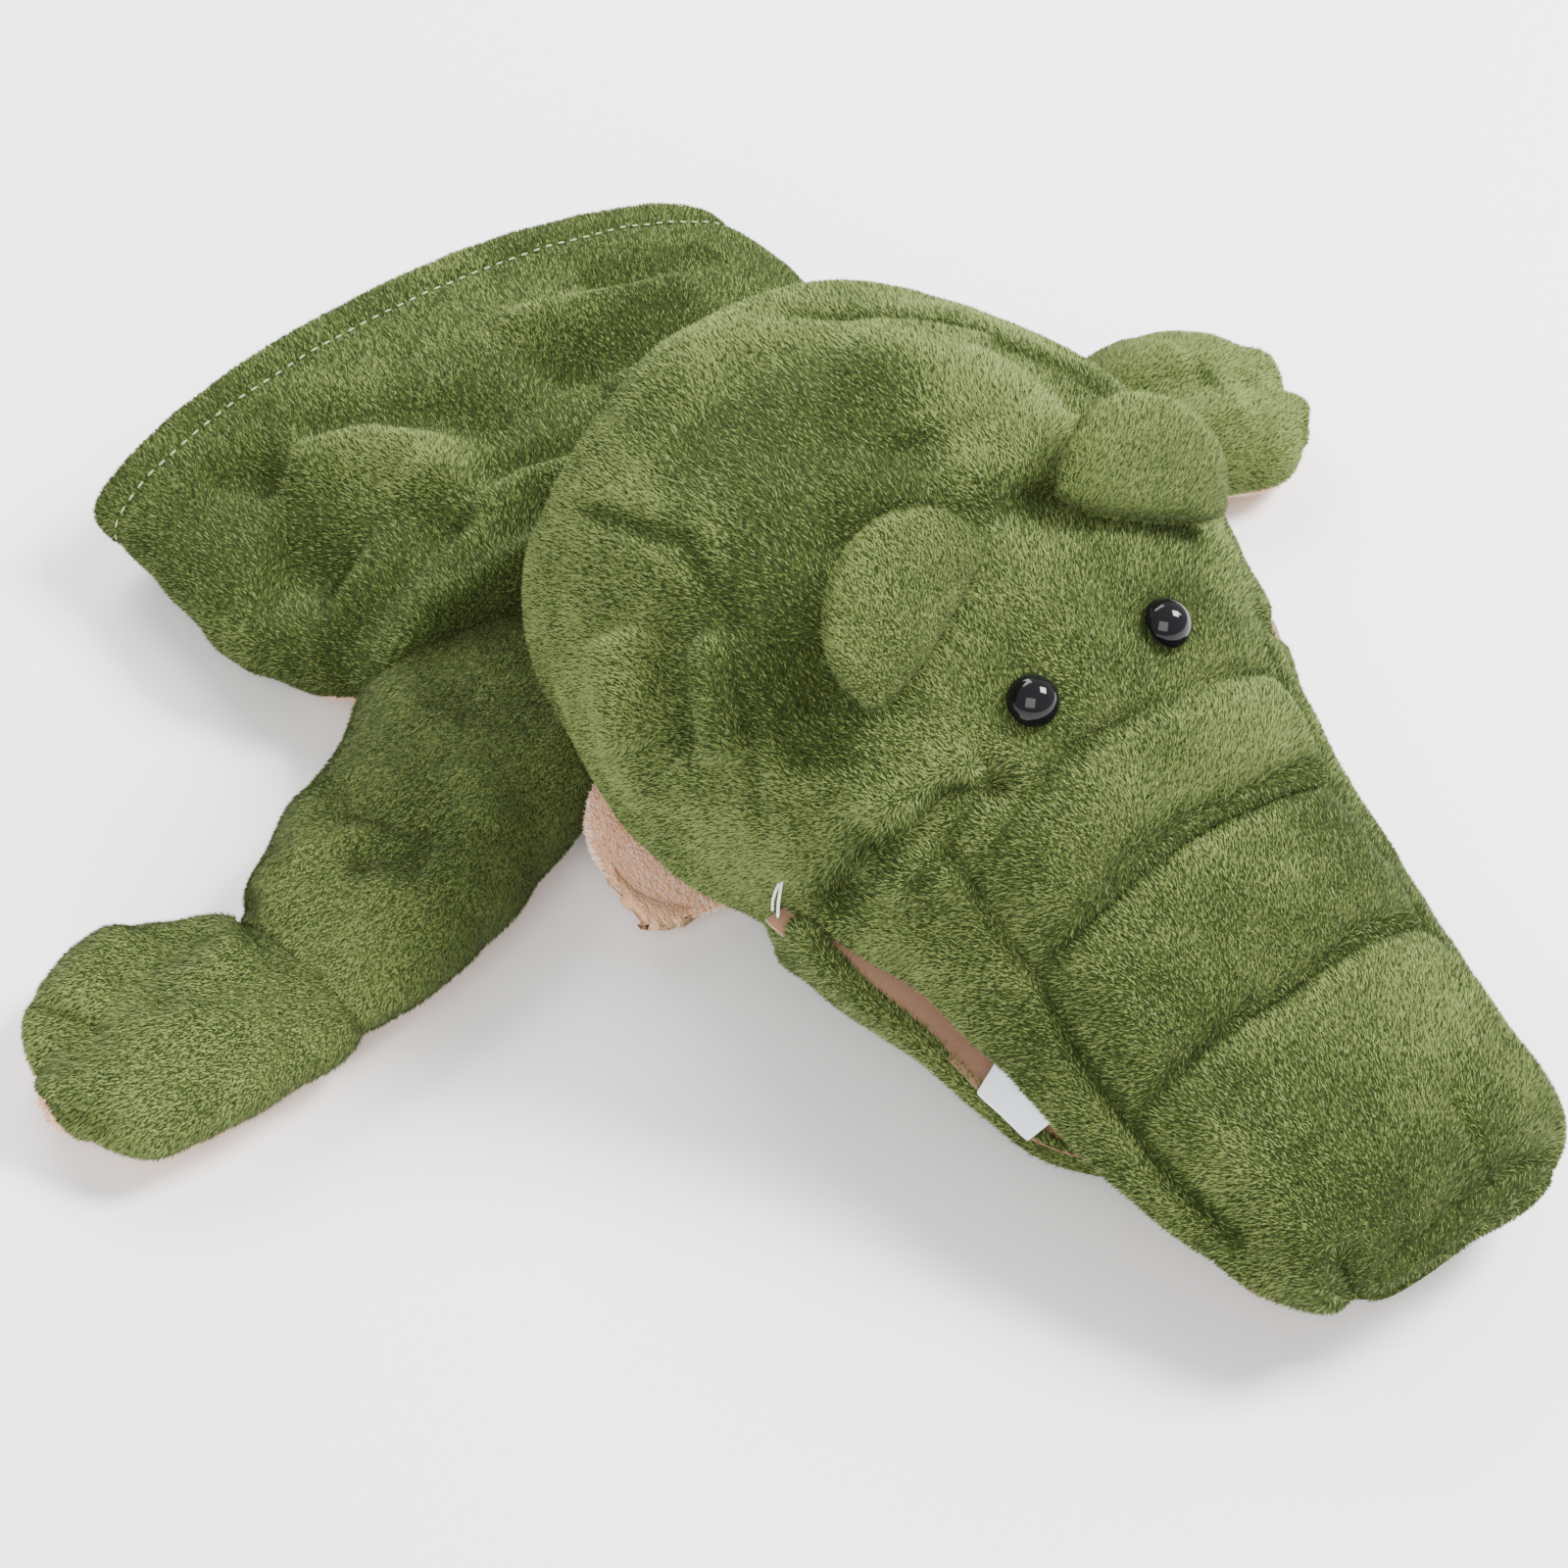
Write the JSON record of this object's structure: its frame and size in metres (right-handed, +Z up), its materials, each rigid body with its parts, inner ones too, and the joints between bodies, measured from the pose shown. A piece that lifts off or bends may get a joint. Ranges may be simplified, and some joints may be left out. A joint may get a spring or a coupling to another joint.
{
  "type": "hand puppet",
  "caption": "Plush crocodile hand puppet: glove sleeve, stuffed arms, domed head, quilted snout and a hinged lower jaw.",
  "frame": {"origin": "on the table, under the middle of the opening that the hand goes in by", "axes": "+X towards the snout, +Y to the puppet's left, +Z up"},
  "size_m": [0.328, 0.3355, 0.1194],
  "materials": {
    "plush": "short-pile plush",
    "belly_plush": "short-pile plush",
    "lining": "brushed tricot",
    "fibre_fill": "loose polyester fibre",
    "felt": "felt",
    "eye_plastic": "polished",
    "washer_plastic": "moulded"
  },
  "bodies": {
    "sleeve": {"sleeve_back": "plush", "sleeve_belly": "belly_plush", "hem_back": "plush", "hem_belly": "belly_plush"},
    "neck": {"neck_gather": "plush"},
    "head": {"crown_panel": "plush", "cheek_panel_right": "plush", "cheek_panel_left": "plush", "face_panel": "plush", "quilted_snout_panel": "plush", "lip_panel_right": "plush", "lip_panel_left": "plush", "nose_panel": "plush", "palate_lining": "lining", "finger_pocket": "lining", "palm_lining": "lining", "crown_stuffing": "fibre_fill", "snout_stuffing": "fibre_fill", "cheek_gusset": "plush", "eye_right": "eye_plastic", "eye_left": "eye_plastic", "eye_washer_right": "washer_plastic", "eye_washer_left": "washer_plastic", "tooth_right": "felt", "tooth_left": "felt"},
    "jaw": {"jaw_panel": "plush", "jaw_lining": "lining", "thumb_pocket": "lining", "jaw_stuffing": "fibre_fill"},
    "arm_right": {"arm_right_upper": "plush", "arm_right_lower": "belly_plush", "arm_right_stuffing": "fibre_fill"},
    "paw_right": {"paw_right_upper": "plush", "paw_right_lower": "belly_plush", "paw_right_stuffing": "fibre_fill"},
    "brow_right": {"brow_front_right": "plush", "brow_back_right": "plush", "brow_stuffing_right": "fibre_fill"},
    "arm_left": {"arm_left_upper": "plush", "arm_left_lower": "belly_plush", "arm_left_stuffing": "fibre_fill"},
    "paw_left": {"paw_left_upper": "plush", "paw_left_lower": "belly_plush", "paw_left_stuffing": "fibre_fill"},
    "brow_left": {"brow_front_left": "plush", "brow_back_left": "plush", "brow_stuffing_left": "fibre_fill"}
  },
  "joints": [
    {"name": "neck_turn", "type": "hinge", "parent": "sleeve", "child": "neck", "pos_m": [0.14, 0, 0.038], "axis": [0.4695, 0, 0.8829], "range_deg": [-30, 30], "deforming": ["neck_gather"]},
    {"name": "neck_nod", "type": "hinge", "parent": "neck", "child": "head", "pos_m": [0.14, 0, 0.038], "axis": [0, 1, 0], "range_deg": [-15, 12], "deforming": ["neck_gather"]},
    {"name": "jaw_open", "type": "hinge", "parent": "head", "child": "jaw", "pos_m": [0.218, 0, 0.045], "axis": [0, 1, 0], "range_deg": [-12, 40], "deforming": ["cheek_gusset", "tooth_right", "tooth_left"]},
    {"name": "shoulder_swing_right", "type": "hinge", "parent": "sleeve", "child": "arm_right", "pos_m": [0.121, -0.078, 0.014], "axis": [0, 0, 1], "range_deg": [-35, 35]},
    {"name": "paw_fold_right", "type": "hinge", "parent": "arm_right", "child": "paw_right", "pos_m": [0.14149, -0.12617, 0.012], "axis": [0.9981, 0.061, 0], "range_deg": [-40, 25]},
    {"name": "brow_flop_right", "type": "hinge", "parent": "head", "child": "brow_right", "pos_m": [0.2084, -0.0274, 0.09975], "axis": [-0.2502, 0.8758, 0.4129], "range_deg": [-15, 15], "stiffness_Nm_per_rad": 0.02},
    {"name": "shoulder_swing_left", "type": "hinge", "parent": "sleeve", "child": "arm_left", "pos_m": [0.121, 0.078, 0.014], "axis": [0, 0, 1], "range_deg": [-35, 35]},
    {"name": "paw_fold_left", "type": "hinge", "parent": "arm_left", "child": "paw_left", "pos_m": [0.11427, 0.10561, 0.012], "axis": [-1, 0, 0], "range_deg": [-40, 25]},
    {"name": "brow_flop_left", "type": "hinge", "parent": "head", "child": "brow_left", "pos_m": [0.2084, 0.0274, 0.09975], "axis": [0.2502, 0.8758, -0.4129], "range_deg": [-15, 15], "stiffness_Nm_per_rad": 0.02}
  ]
}
